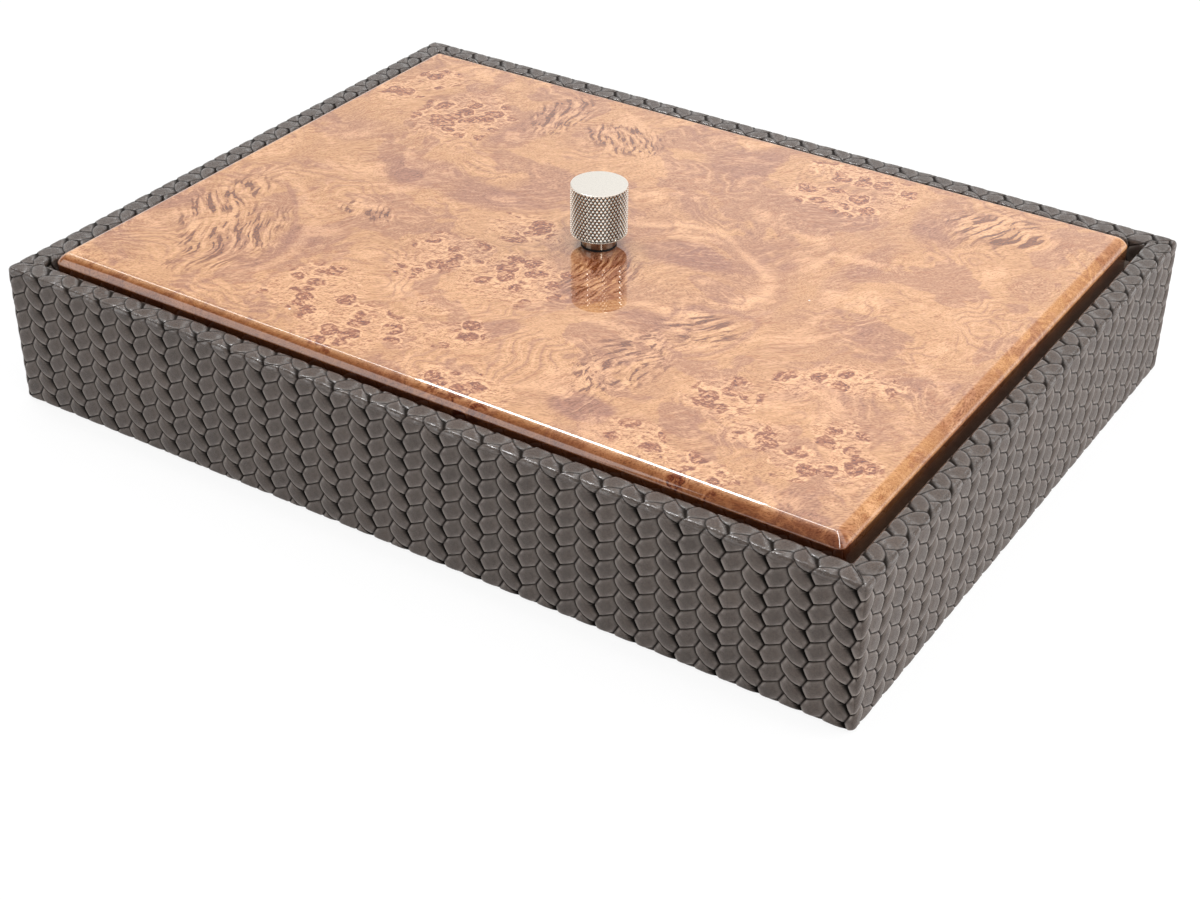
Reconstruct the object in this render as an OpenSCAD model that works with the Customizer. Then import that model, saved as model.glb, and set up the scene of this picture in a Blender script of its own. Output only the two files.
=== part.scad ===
// A low box for papers: boards covered in embossed leather, and a loose burl lid with a knurled knob.
// Millimetres. The origin lies on the table under the middle of the box. +X is right, +Y is back.

/* [Box] */
// Overall width, left to right
box_w = 330; // [300:1:380]
// Overall depth, front to back
box_d = 246; // [220:1:300]
// Height of the rim above the table
box_h = 52.6; // [46:0.2:80]
// Thickness of the four wall boards
wall_t = 7; // [6:0.5:10]
// Thickness of the base board
base_t = 5; // [3:0.5:8]
// How far the base board is let into each wall
base_let_in = 3.5; // [2:0.5:5]
// Diameter of the dowels in the corner joints
dowel_d = 3; // [2:0.5:4]
// Length of the dowels
dowel_l = 20; // [14:1:30]
// Distance from the ends of a corner joint to its dowels
dowel_inset = 10; // [6:1:14]

/* [Leather] */
// Thickness of the leather
leather_t = 1.2; // [0.8:0.1:1.6]
// Radius of the leather's outer edges
edge_r = 1.8; // [1.8:0.1:3]
// How far the leather turns in under the base
turn_in = 14; // [11:1:24]
// Thickness of the felt under the base
felt_t = 1.6; // [1.6:0.1:3]
// Gap between the felt and the turned-in leather
felt_gap = 0.3; // [0.2:0.1:2]

/* [Lining] */
// Thickness of the inner boards that carry the lid
liner_t = 5; // [4.6:0.2:8]
// Thickness of the soft lining
lining_t = 0.8; // [0.5:0.1:1.2]
// Thickness of the card in the floor and under the lid
card_t = 1.5; // [1:0.5:3]
// Gap round the loose floor
floor_gap = 0.3; // [0.2:0.1:1]

/* [Lid] */
// Thickness of the lid
lid_t = 12.4; // [11:0.2:16]
// How far the lid's top stands above the rim
lid_rise = 3.6; // [1:0.2:8]
// Gap between the lid and the rim, all round
lid_gap = 3.2; // [2:0.1:4]
// How far the loose lid lies to the left of the middle
lid_left = 0.8; // [-1.2:0.1:1.2]
// How far the loose lid lies in front of the middle
lid_forward = 0.9; // [-1.2:0.1:1.2]
// Width of the softened bevel, seen from above
bevel_w = 4.4; // [3:0.2:8]
// Height of the softened bevel
bevel_h = 3.7; // [2:0.1:6]
// Tilt of the bevel where it leaves the top, in degrees
bevel_start = 16; // [5:1:25]
// Tilt of the bevel where it meets the side, in degrees
bevel_end = 64; // [50:1:80]
// Radius of the lid's corners, seen from above
lid_corner_r = 3; // [1.5:0.5:8]
// Thickness of the burl leaf with its lacquer
veneer_t = 0.6; // [0.4:0.1:1.2]
// Gap between the lid's lining and the compartment
lid_lining_gap = 2; // [1.5:0.1:4]

/* [Knob] */
// Diameter of the knurled cap
cap_d = 20; // [14:0.5:30]
// Height of the knurled cap
cap_h = 18.3; // [12:0.1:30]
// Bevel on the cap's two edges
cap_bevel = 0.3; // [0.1:0.1:1]
// Diameter of the smooth neck
neck_d = 12.2; // [10:0.1:13.8]
// Height of the smooth neck
neck_h = 4.3; // [2:0.1:10]
// Thickness of the dark ring under the neck
gasket_t = 0.6; // [0.3:0.1:1.2]
// How far the dark ring stands out past the neck
gasket_lip = 0.2; // [0:0.1:0.6]

/* [Knob screw] */
// Diameter of the screw
screw_d = 4; // [3:0.5:5]
// Length of the screw under its head
screw_l = 20; // [18:1:25]
// Diameter of the screw's head
head_d = 8; // [7:0.5:9]
// Height of the screw's head
head_h = 2.4; // [1.8:0.1:2.8]
// Width of the hexagonal socket across its flats
socket_w = 2.5; // [1.5:0.5:3]
// Depth of the hexagonal socket
socket_h = 1.4; // [0.8:0.1:1.6]
// Outer diameter of the washer
washer_d = 9; // [9:0.5:11]
// Thickness of the washer
washer_t = 0.8; // [0.5:0.1:1]
// Diameter of the recess for the washer and the head
recess_d = 12; // [11.5:0.5:16]
// Depth of that recess
recess_h = 4; // [3.8:0.1:5]

/* [Hidden] */
$fn = 64;
// Clearance of a dowel in its hole, on the radius
dowel_play = 0.05;
// Space left past the end of a dowel or a screw
end_space = 0.5;
// Clearance of the screw in the lid and the washer, on the radius
shank_play = 0.25;
// Clearance of the screw in the knob's thread, on the radius
thread_play = 0.05;
// Steps across the softened bevel
bevel_steps = 8;
// Overcut past a face that is cut through
over = 1;

// How far in from the outer faces the corner mitres run, past every mitred piece
mitre_reach = min(box_w, box_d) / 3;
rim_t = wall_t + 2 * leather_t;
board_r = edge_r - leather_t;
under_z = felt_t - leather_t;
board_z = felt_t;
base_top = board_z + base_t;
board_top = box_h - leather_t;
lid_top = box_h + lid_rise;
ledge_z = lid_top - lid_t;
base_w = box_w - 2 * (leather_t + wall_t - base_let_in);
base_d = box_d - 2 * (leather_t + wall_t - base_let_in);
room_w = box_w - 2 * (rim_t + liner_t + lining_t);
room_d = box_d - 2 * (rim_t + liner_t + lining_t);
lid_w = box_w - 2 * (rim_t + lid_gap);
lid_d = box_d - 2 * (rim_t + lid_gap);
knob_z = lid_top + gasket_t;
washer_z = ledge_z + recess_h - washer_t;
screw_tip = washer_z + screw_l;

// A side goes by its name, and its turn is anticlockwise from the front
function side_turn(side) = side == "front" ? 0 : side == "right" ? 90 : side == "back" ? 180 : 270;
function is_long(side) = side == "front" || side == "back";
function side_length(side) = is_long(side) ? box_w : box_d;
function side_reach(side) = (is_long(side) ? box_d : box_w) / 2;

// A flat rectangle with round corners, centred
module round_plan(w, d, r) {
    square([w - 2 * r, d], center = true);
    square([w, d - 2 * r], center = true);
    for (x = [-1, 1], y = [-1, 1])
        translate([x * (w / 2 - r), y * (d / 2 - r)]) circle(r);
}

// Everything inside the box's own outline, drawn in by inset, with its upright corners rounded
module inside_outline(inset) {
    intersection() {
        children();
        linear_extrude(lid_top) round_plan(box_w - 2 * inset, box_d - 2 * inset, edge_r - inset);
    }
}

// Puts a piece against one side, with local +Y running inwards from the outer face
module at_side(side) {
    rotate(side_turn(side)) translate([0, -side_reach(side), 0]) children();
}

// Runs a section along one side: its X goes inwards and its Y goes up
module run_along(side) {
    at_side(side) rotate([90, 0, 90]) linear_extrude(side_length(side), center = true) children();
}

// The same, cut to a mitre at both ends
module mitred_along(side) {
    end = side_length(side) / 2;
    inner_end = end - mitre_reach;
    intersection() {
        run_along(side) children();
        at_side(side) linear_extrude(lid_top)
            polygon([[-end, 0], [end, 0], [inner_end, mitre_reach], [-inner_end, mitre_reach]]);
    }
}

// Upright section with its two top edges rounded
module wall_section(from, to, low, high, r) {
    translate([from, low]) square([to - from, high - low - r]);
    translate([from + r, low]) square([to - from - 2 * r, high - low]);
    translate([from + r, high - r]) circle(r);
    translate([to - r, high - r]) circle(r);
}

module board_section() {
    wall_section(leather_t, leather_t + wall_t, board_z, board_top, board_r);
}

module base_pocket() {
    translate([0, 0, board_z - over]) linear_extrude(base_t + over) square([base_w, base_d], center = true);
}

// The dowels, or with play their holes: two at each corner, from the long boards' outer faces
module dowels(play = 0, extra = 0) {
    for (x = [-1, 1], y = [-1, 1], z = [base_top + dowel_inset, board_top - dowel_inset])
        translate([x * (box_w / 2 - leather_t - wall_t / 2), y * (box_d / 2 - leather_t), z])
            rotate([90 * y, 0, 0])
                translate([0, 0, play > 0 ? -over : 0])
                    cylinder(d = dowel_d + 2 * play, h = dowel_l + extra + (play > 0 ? over : 0));
}

module board_shape(side) {
    difference() {
        inside_outline(leather_t) run_along(side) board_section();
        base_pocket();
        dowels(dowel_play, end_space);
    }
}

module long_board(side) {
    color([0.72, 0.6, 0.44]) board_shape(side);
}

module short_board(side) {
    color([0.72, 0.6, 0.44]) intersection() {
        board_shape(side);
        linear_extrude(box_h) square([box_w, box_d - 2 * (leather_t + wall_t)], center = true);
    }
}

module base_board() {
    color([0.72, 0.6, 0.44]) translate([0, 0, board_z])
        linear_extrude(base_t) square([base_w, base_d], center = true);
}

module corner_dowels() {
    color([0.85, 0.75, 0.58]) dowels();
}

// Up the outside, over the rim, down the inside to the base, and in under the base
module leather_section() {
    difference() {
        union() {
            wall_section(0, rim_t, under_z, box_h, edge_r);
            translate([0, under_z]) square([turn_in, leather_t]);
        }
        board_section();
        translate([leather_t, board_z]) square([rim_t, base_t]);
    }
}

module leather(side) {
    color([0.34, 0.32, 0.3]) inside_outline(0) mitred_along(side) leather_section();
}

module base_felt() {
    inset = turn_in + felt_gap;
    color([0.16, 0.15, 0.15]) linear_extrude(felt_t)
        square([box_w - 2 * inset, box_d - 2 * inset], center = true);
}

// Inner board that carries the lid
module liner(side) {
    color([0.72, 0.6, 0.44]) mitred_along(side)
        translate([rim_t, base_top]) square([liner_t, ledge_z - lining_t - base_top]);
}

// Soft lining over the inner board's face and top
module lining(side) {
    color([0.42, 0.36, 0.31]) mitred_along(side) {
        translate([rim_t + liner_t, base_top]) square([lining_t, ledge_z - base_top]);
        translate([rim_t, ledge_z - lining_t]) square([liner_t + lining_t, lining_t]);
    }
}

module floor_sheet(low, thickness) {
    translate([0, 0, low]) linear_extrude(thickness)
        square([room_w - 2 * floor_gap, room_d - 2 * floor_gap], center = true);
}

module floor_card() {
    color([0.66, 0.6, 0.5]) floor_sheet(base_top, card_t);
}

module floor_lining() {
    color([0.42, 0.36, 0.31]) floor_sheet(base_top + card_t, lining_t);
}

module in_lid() {
    translate([-lid_left, -lid_forward, 0]) children();
}

// Half of the lid's section at its bevel, from the top edge outwards: [distance out, drop]
function bevel_tilt(step) = bevel_start + (bevel_end - bevel_start) * step / bevel_steps;
function bevel_point(step) = [
    bevel_w * (sin(bevel_tilt(step)) - sin(bevel_start)) / (sin(bevel_end) - sin(bevel_start)),
    bevel_h * (cos(bevel_start) - cos(bevel_tilt(step))) / (cos(bevel_start) - cos(bevel_end))
];
function bevel_outline(span, high) = [
    for (step = [0:bevel_steps]) [span / 2 - bevel_w, high] + [bevel_point(step)[0], -bevel_point(step)[1]]
];

module lid_section(span, low, high) {
    right = bevel_outline(span, high);
    left = [for (step = [bevel_steps:-1:0]) [-right[step][0], right[step][1]]];
    polygon(concat(right, [[span / 2, low], [-span / 2, low]], left));
}

// The lid's form, with its top and sides drawn in by inset
module lid_form(inset, low) {
    w = lid_w - 2 * inset;
    d = lid_d - 2 * inset;
    high = lid_top - inset;
    intersection() {
        rotate([90, 0, 0]) linear_extrude(d, center = true) lid_section(w, low, high);
        rotate([90, 0, 90]) linear_extrude(w, center = true) lid_section(d, low, high);
        linear_extrude(lid_top) round_plan(w, d, lid_corner_r - inset);
    }
}

module screw_bore(low) {
    translate([0, 0, low]) cylinder(d = screw_d + 2 * shank_play, h = knob_z - low + over);
}

module lid_core() {
    color([0.72, 0.6, 0.44]) in_lid() difference() {
        lid_form(veneer_t, ledge_z);
        screw_bore(ledge_z - over);
        translate([0, 0, ledge_z - over]) cylinder(d = recess_d, h = recess_h + over);
    }
}

module lid_veneer() {
    color([0.76, 0.5, 0.33]) in_lid() difference() {
        lid_form(0, ledge_z);
        lid_form(veneer_t, ledge_z - over);
        screw_bore(ledge_z);
    }
}

module lid_card_plan(grow) {
    inset = lid_lining_gap + lining_t - grow;
    square([room_w - 2 * inset, room_d - 2 * inset], center = true);
}

module lid_card() {
    color([0.66, 0.6, 0.5]) in_lid() translate([0, 0, ledge_z - card_t])
        linear_extrude(card_t) lid_card_plan(0);
}

// Soft cover round the card's edges and under it
module lid_lining() {
    color([0.42, 0.36, 0.31]) in_lid() difference() {
        translate([0, 0, ledge_z - card_t - lining_t])
            linear_extrude(card_t + lining_t) lid_card_plan(lining_t);
        translate([0, 0, ledge_z - card_t]) linear_extrude(card_t + over) lid_card_plan(0);
    }
}

// Cap and neck in one turned piece, with a threaded blind hole from below
module knob() {
    cap_low = neck_h;
    cap_high = neck_h + cap_h;
    color([0.8, 0.77, 0.72]) in_lid() difference() {
        translate([0, 0, knob_z]) rotate_extrude()
            polygon([
                [0, 0], [neck_d / 2, 0], [neck_d / 2, cap_low], [cap_d / 2 - cap_bevel, cap_low],
                [cap_d / 2, cap_low + cap_bevel], [cap_d / 2, cap_high - cap_bevel],
                [cap_d / 2 - cap_bevel, cap_high], [0, cap_high]
            ]);
        translate([0, 0, knob_z - over])
            cylinder(d = screw_d + 2 * thread_play, h = screw_tip + end_space - knob_z + over);
    }
}

module ring(outer_d, low, thickness) {
    translate([0, 0, low]) difference() {
        cylinder(d = outer_d, h = thickness);
        translate([0, 0, -over]) cylinder(d = screw_d + 2 * shank_play, h = thickness + 2 * over);
    }
}

module knob_gasket() {
    color([0.07, 0.07, 0.07]) in_lid() ring(neck_d + 2 * gasket_lip, lid_top, gasket_t);
}

module knob_washer() {
    color([0.7, 0.7, 0.7]) in_lid() ring(washer_d, washer_z, washer_t);
}

module knob_screw() {
    color([0.7, 0.7, 0.7]) in_lid() difference() {
        union() {
            translate([0, 0, washer_z - head_h]) cylinder(d = head_d, h = head_h);
            translate([0, 0, washer_z]) cylinder(d = screw_d, h = screw_l);
        }
        translate([0, 0, washer_z - head_h - over])
            cylinder(d = socket_w / cos(30), h = socket_h + over, $fn = 6);
    }
}

long_board("front");  // front_board
long_board("back");  // back_board
short_board("left");  // left_board
short_board("right");  // right_board
base_board();
corner_dowels();
leather("front");  // leather_front
leather("back");  // leather_back
leather("left");  // leather_left
leather("right");  // leather_right
base_felt();
liner("front");  // liner_front
liner("back");  // liner_back
liner("left");  // liner_left
liner("right");  // liner_right
lining("front");  // lining_front
lining("back");  // lining_back
lining("left");  // lining_left
lining("right");  // lining_right
floor_card();
floor_lining();
lid_core();
lid_veneer();
lid_card();
lid_lining();
knob();
knob_gasket();
knob_screw();
knob_washer();
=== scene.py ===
"""A stationery box: plaited leather, a lacquered burl lid and a knurled knob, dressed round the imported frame.

Meshes and materials are worked out in millimetres. Metres are used by the camera, the lamps and the floor.
"""

import math
from functools import cached_property

import bmesh
import bpy
import numpy as np
from mathutils import Matrix, Vector


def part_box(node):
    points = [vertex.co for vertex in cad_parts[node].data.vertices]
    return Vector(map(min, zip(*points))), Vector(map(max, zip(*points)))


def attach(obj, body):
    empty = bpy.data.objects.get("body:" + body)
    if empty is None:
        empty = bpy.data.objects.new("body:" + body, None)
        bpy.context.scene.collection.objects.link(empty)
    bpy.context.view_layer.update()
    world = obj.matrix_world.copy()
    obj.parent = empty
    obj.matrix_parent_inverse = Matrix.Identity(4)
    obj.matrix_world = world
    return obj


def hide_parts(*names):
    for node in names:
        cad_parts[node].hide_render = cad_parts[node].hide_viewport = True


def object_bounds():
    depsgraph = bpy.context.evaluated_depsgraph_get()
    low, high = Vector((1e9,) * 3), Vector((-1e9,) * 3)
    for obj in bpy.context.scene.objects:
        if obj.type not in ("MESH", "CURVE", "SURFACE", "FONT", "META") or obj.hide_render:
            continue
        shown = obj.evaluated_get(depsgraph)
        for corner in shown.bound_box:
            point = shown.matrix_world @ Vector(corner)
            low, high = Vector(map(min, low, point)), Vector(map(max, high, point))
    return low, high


MM = 0.001
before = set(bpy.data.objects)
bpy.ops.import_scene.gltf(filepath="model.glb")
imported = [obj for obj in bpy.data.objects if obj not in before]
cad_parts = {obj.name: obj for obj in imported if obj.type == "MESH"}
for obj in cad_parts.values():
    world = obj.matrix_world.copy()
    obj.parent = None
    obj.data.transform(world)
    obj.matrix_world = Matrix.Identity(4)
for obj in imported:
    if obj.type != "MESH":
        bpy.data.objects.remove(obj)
cad_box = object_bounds()


def millimetres(node):
    """Lowest and highest corner of a node, in millimetres."""
    return tuple(np.array(corner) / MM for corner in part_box(node))


def smoothstep(low, high, value):
    part = np.clip((value - low) / (high - low), 0, 1)
    return part * part * (3 - 2 * part)


def add_object(name, data):
    made = bpy.data.objects.new(name, data)
    bpy.context.collection.objects.link(made)
    return made


# ---------------------------------------------------------------- a short way to write node trees


class Tree:
    """A node tree, written from what its nodes give out."""

    def __init__(self, tree):
        self.tree = tree
        tree.nodes.clear()

    def make(self, kind, given=None, out=0, **settings):
        """A new node's output. Its inputs go by name or number, and are numbers, colours or other outputs."""
        node = self.tree.nodes.new(kind)
        for name, value in settings.items():
            setattr(node, name, value)
        for name, value in (given or {}).items():
            self.give(node.inputs[name], value)
        return Value(self, node.outputs[out]) if node.outputs else None

    def give(self, target, value):
        if isinstance(value, Value):
            self.tree.links.new(value.socket, target)
        else:
            target.default_value = (*value, 1) if target.type == "RGBA" else value

    def light_path(self, kind):
        return self.make("ShaderNodeLightPath", out=kind)

    def shine(self):
        """1 for what polish and glass show."""
        return self.light_path("Is Glossy Ray").apply("MAXIMUM", self.light_path("Is Transmission Ray"))


class Value:
    """What a node gives out. Arithmetic with it makes the nodes that work out the result."""

    def __init__(self, tree, socket):
        self.tree = tree
        self.socket = socket

    def apply(self, operation, *others):
        """Maths on numbers, or on places and directions where this is one."""
        kind = "ShaderNodeVectorMath" if self.socket.type in ("VECTOR", "RGBA") else "ShaderNodeMath"
        return self.tree.make(kind, dict(enumerate((self, *others))), operation=operation)

    def __add__(self, other):
        return self.apply("ADD", other)

    def __sub__(self, other):
        return self.apply("SUBTRACT", other)

    def __rsub__(self, other):
        return self.apply("MULTIPLY_ADD", -1.0, other)

    def __mul__(self, other):
        if self.socket.type == "VECTOR" and not isinstance(other, tuple):
            return self.tree.make("ShaderNodeVectorMath", {0: self, "Scale": other}, operation="SCALE")
        return self.apply("MULTIPLY", other)

    def __abs__(self):
        return self.apply("ABSOLUTE")

    def __lt__(self, other):
        return self.apply("LESS_THAN", other)

    def __gt__(self, other):
        return self.apply("GREATER_THAN", other)

    __radd__ = __add__

    def part(self, axis):
        return self.tree.make("ShaderNodeSeparateXYZ", {0: self}, axis)

    def length(self):
        return self.tree.make("ShaderNodeVectorMath", {0: self}, "Value", operation="LENGTH")

    def ramp(self, low, high, new_low=0.0, new_high=1.0, kind="LINEAR"):
        """Goes from new_low to new_high while this goes from low to high, and no further."""
        given = dict(enumerate((self, low, high, new_low, new_high)))
        return self.tree.make("ShaderNodeMapRange", given, interpolation_type=kind)

    def smooth(self, *levels):
        """A ramp with soft ends."""
        return self.ramp(*levels, kind="SMOOTHSTEP")

    def noise(self, size, detail=2.0, rough=0.5, out="Fac"):
        """Noise at this place, with lumps of about size."""
        given = {"Vector": self, "Scale": 1 / size, "Detail": detail, "Roughness": rough}
        return self.tree.make("ShaderNodeTexNoise", given, out)

    def mapped(self, middle, angle, units):
        """This place as measured from a middle, along axes turned by degrees and in those units."""
        given = {"Vector": self, "Location": middle, "Rotation": (0, 0, math.radians(angle)), "Scale": units}
        return self.tree.make("ShaderNodeMapping", given, vector_type="TEXTURE")

    def grain(self, angle, across, along, detail=2.0, rough=0.5):
        """Noise drawn out along a direction."""
        return self.mapped((0, 0, 0), angle, (along, across, across)).noise(1.0, detail, rough)

    def ellipse(self, x, y, across, along):
        """How far out of an upright ellipse this place lies: 0 in its middle and 1 on its edge."""
        return self.mapped((x, y, 0), 0, (across, along, FAR_DOWN)).length()

    def warped(self, size, reach, detail=2.0):
        """This place, pushed about by noise of that size."""
        return self + (self.noise(size, detail, out="Color") - (0.5, 0.5, 0.5)) * reach

    def cells(self, size, feature="F1"):
        """Distance from the middle or the edge of the cell that this place lies in."""
        given = {"Vector": self, "Scale": 1 / size}
        return self.tree.make("ShaderNodeTexVoronoi", given, "Distance", feature=feature)

    def drawn(self):
        """The number that each cell has drawn, where this is the distance from its middle."""
        colour = Value(self.tree, self.socket.node.outputs["Color"])
        return self.tree.make("ShaderNodeSeparateColor", {0: colour})

    def bump(self, depth, strength=1.0):
        """The tilt of a surface whose height this is, as a part of depth in millimetres."""
        given = {"Strength": strength, "Distance": depth * MM, "Height": self}
        return self.tree.make("ShaderNodeBump", given)


# So long that an ellipse reaches down through the whole lid, in millimetres
FAR_DOWN = 1000


def mixed(part, a, b, kind="MIX"):
    """Colour a, with that part of colour b over it."""
    tree = next(value.tree for value in (part, a, b) if isinstance(value, Value))
    return tree.make("ShaderNodeMix", {0: part, 6: a, 7: b}, 2, data_type="RGBA", blend_type=kind)


def tinted(colour, by):
    return mixed(1.0, colour, by, "MULTIPLY")


def specked(colour, place, size, edge, core, share, speck):
    """A colour with specks in a share of cells of that size."""
    distance = place.cells(size)
    return mixed(distance.ramp(edge, core) * (distance.drawn() < share), colour, speck)


def least(values):
    found = values[0]
    for value in values[1:]:
        found = found.apply("MINIMUM", value)
    return found


class Material:
    """A material of one shader."""

    def __init__(self, name):
        self.material = bpy.data.materials.new(name)
        self.material.use_nodes = True
        self.tree = Tree(self.material.node_tree)

    @cached_property
    def place(self):
        """The piece's own coordinates in millimetres."""
        return self.read("ShaderNodeTexCoord", "Object") * (1 / MM)

    def read(self, kind, out, **settings):
        return self.tree.make(kind, out=out, **settings)

    def finished(self, **sockets):
        """The material, with the shader's sockets set. Their names have _ for a space."""
        given = {name.replace("_", " "): value for name, value in sockets.items()}
        return self.shown(self.tree.make("ShaderNodeBsdfPrincipled", given))

    def shown(self, shader):
        self.tree.make("ShaderNodeOutputMaterial", {"Surface": shader})
        return self.material


# ---------------------------------------------------------------- camera, floor and light

CAMERA_SPOT = Vector((0.34303, -0.53666, 0.38894))
CAMERA_AIM = Vector((0.02448, -0.03831, 0.0))
CAMERA_ROLL = math.radians(0.589)
CAMERA_LENS = 61.56
SENSOR_WIDTH = 36
CLIP_START = 0.01

# Soft rectangular lamps: name, place, what it is aimed at, size, how bright its face looks where 1 is white,
# and whether polish shows its face, because the white surroundings behind it show as well. One has a direction
# for its first size to lie along.
LAMPS = (
    ("strip_lamp", (-0.72, 0.01, 1.25), (-0.72, -0.05, 0), (1.95, 0.05), 7, True),
    ("short_lamp", (-0.54, 0.03, 1.24), (-0.54, -0.05, 0), (0.42, 0.20), 12, True),
    ("corner_lamp", (0.58, -0.33, 0.92), (0.15, -0.11, 0.05), (1.6, 0.10), 8, True, (0.87, -1.19, -0.67)),
    ("front_panel", (0.62, -0.52, 1.3), (0, 0, 0.05), (0.8, 0.6), 2.0, False),
    ("left_panel", (-0.8, -1.0, 0.6), (-0.15, -0.12, 0.02), (0.8, 0.6), 1.2, True),
    ("top_panel", (-0.3, 0.35, 1.4), (-0.05, 0, 0), (1.1, 0.7), 1.2, False),
    ("back_panel", (-0.95, 1.55, 1.02), (0, 0, 0.05), (2.4, 1.3), 0.95, False),
    ("far_panel", (1.0, 1.5, 0.38), (0.15, 0.1, 0.03), (1.3, 0.7), 2.4, False),
    ("right_panel", (1.42, 0.86, 0.66), (0.14, 0.08, 0.03), (1.4, 1.0), 4.6, False),
)

# How bright the surroundings are: as plain light from the front and the back, and as the dim room behind the
# camera that polish shows
WORLD_LEVEL = (0.44, 0.78)
ROOM_LEVEL = 0.10
FLOOR_GLOW = 0.88
FLOOR_SIZE = 8.0
FLOOR_COLOUR = (0.92, 0.92, 0.92)
WHITE = (1, 1, 1)


def make_camera():
    camera = add_object("camera", bpy.data.cameras.new("camera"))
    camera.data.lens = CAMERA_LENS
    camera.data.sensor_width = SENSOR_WIDTH
    camera.data.clip_start = CLIP_START
    camera.location = CAMERA_SPOT
    aim = (CAMERA_AIM - CAMERA_SPOT).to_track_quat("-Z", "Y")
    camera.rotation_euler = (aim.to_matrix() @ Matrix.Rotation(CAMERA_ROLL, 3, "Z")).to_euler()
    bpy.context.scene.camera = camera


def make_lamp(name, place, aim, size, radiance, mirrored, along=None):
    lamp = add_object(name, bpy.data.lights.new(name, "AREA"))
    lamp.data.shape = "RECTANGLE"
    lamp.data.size, lamp.data.size_y = size
    lamp.data.energy = radiance * math.pi * size[0] * size[1]
    lamp.location = place
    turn = (Vector(aim) - Vector(place)).to_track_quat("-Z", "Y").to_matrix()
    if along:
        back = turn.col[2]
        first = (Vector(along) - back * back.dot(Vector(along))).normalized()
        turn = Matrix((first, back.cross(first), back)).transposed()
    lamp.rotation_euler = turn.to_euler()
    lamp.visible_camera = False
    lamp.visible_glossy = mirrored


def make_world():
    """Plain light, and in polish a white backdrop with a dim room behind the camera. The backdrop falls off to
    the left, and again on the right, where only the lid's right bevel shows it."""
    world = bpy.data.worlds.new("studio")
    bpy.context.scene.world = world
    world.use_nodes = True
    tree = Tree(world.node_tree)
    towards = tree.make("ShaderNodeTexCoord", out="Generated")
    x, y, z = (towards.part(axis) for axis in "XYZ")
    backdrop = y.smooth(-0.25, 0.12).apply("MAXIMUM", z.smooth(0.34, 0.10)).ramp(0, 1, ROOM_LEVEL, 1.0)
    falling = x.smooth(-0.36, -0.72, 0, 0.3) * z.smooth(0.18, 0.34)
    aside = x.smooth(0.0, 0.17, 0, 0.8) * z.smooth(0.06, 0.22) * y.smooth(0.56, 0.70)
    backdrop = backdrop * (1.0 - (falling + aside))
    plain = y.ramp(-0.6, 0.6, *WORLD_LEVEL)
    level = ((backdrop - plain) * tree.shine() + plain).apply("MAXIMUM", tree.light_path("Is Camera Ray"))
    background = tree.make("ShaderNodeBackground", {"Color": WHITE, "Strength": level})
    tree.make("ShaderNodeOutputWorld", {"Surface": background})


def make_floor():
    half = FLOOR_SIZE / 2
    mesh = bpy.data.meshes.new("floor")
    corners = [(-half, -half, 0), (half, -half, 0), (half, half, 0), (-half, half, 0)]
    mesh.from_pydata(corners, [], [(0, 1, 2, 3)])
    mesh.materials.append(floor_material())
    add_object("floor", mesh)


def floor_material():
    """White to the camera and in polish, and a matt floor that takes the object's shadow."""
    made = Material("floor")
    matt = made.tree.make("ShaderNodeBsdfDiffuse", {"Color": FLOOR_COLOUR})
    glow = made.tree.make("ShaderNodeEmission", {"Color": WHITE})
    part = (made.tree.light_path("Is Camera Ray") * FLOOR_GLOW).apply("MAXIMUM", made.tree.shine())
    return made.shown(made.tree.make("ShaderNodeMixShader", {0: part, 1: matt, 2: glow}))


# ---------------------------------------------------------------- materials


RIM_Z = millimetres("leather_front")[1][2]
LID_TOP = millimetres("lid_veneer")[1][2]
LID_FRONT = millimetres("lid_veneer")[0][1]
THREAD = 0.7
# What each point of the plait is marked with: groove, painted shade in the grooves and pockets; edge, wear and
# painted highlight on raised edges; and tone
PLAIT_MARKS = ("groove", "edge", "tone")


def leather_material():
    """Mottled leather with painted shade in the grooves and pockets, wear and painted highlights on raised
    edges, and a glaze on the rim's arris, where it is stretched.
    """
    made = Material("plaited_leather")
    place, height = made.place, made.place.part("Z")
    groove, edge, tone = (made.read("ShaderNodeAttribute", "Fac", attribute_name=name)
                          for name in PLAIT_MARKS)
    body = tone * 0.28 + (place.noise(28) * 0.6 + 0.1)
    body = mixed(body, (0.046, 0.034, 0.028), (0.108, 0.078, 0.062))
    mottled = mixed(place.noise(0.7, 4, 0.65).ramp(0.34, 0.66, 0, 0.5), body, (0.026, 0.019, 0.016))
    stretched = height.smooth(RIM_Z - 3, RIM_Z - 1.2)
    # Raised edges lighter: wear and painted highlight
    wear_and_highlight = mixed(edge * stretched.ramp(0, 1, 0.85, 0.15), mottled, (0.24, 0.205, 0.185))
    # Grooves and pockets darkened to near black: painted shade, weaker over the rim
    shade = groove * stretched.ramp(0, 1, 0.99, 0.86)
    arris = height.smooth(RIM_Z - 1.7, RIM_Z - 0.9) * height.smooth(RIM_Z - 0.10, RIM_Z + 0.02, 1, 0)
    broken = place.noise(2.2).ramp(0.40, 0.56, 0.25, 1.0)
    grain = place.cells(0.42, "DISTANCE_TO_EDGE").ramp(0, 0.12) + place.noise(0.35, 3)
    return made.finished(
        Base_Color=mixed(shade, wear_and_highlight, (0.003, 0.0025, 0.002)), IOR=1.45,
        Roughness=place.noise(1.6).ramp(0.3, 0.7, 0.33, 0.45) - stretched * 0.2,
        Specular_IOR_Level=(groove * -0.94 + 1.0) * (stretched * 0.15 + 0.5),
        Coat_Weight=arris * broken * (groove * -0.9 + 0.9), Coat_Roughness=0.2, Coat_IOR=1.9,
        Normal=grain.bump(0.07, 0.7))


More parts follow.
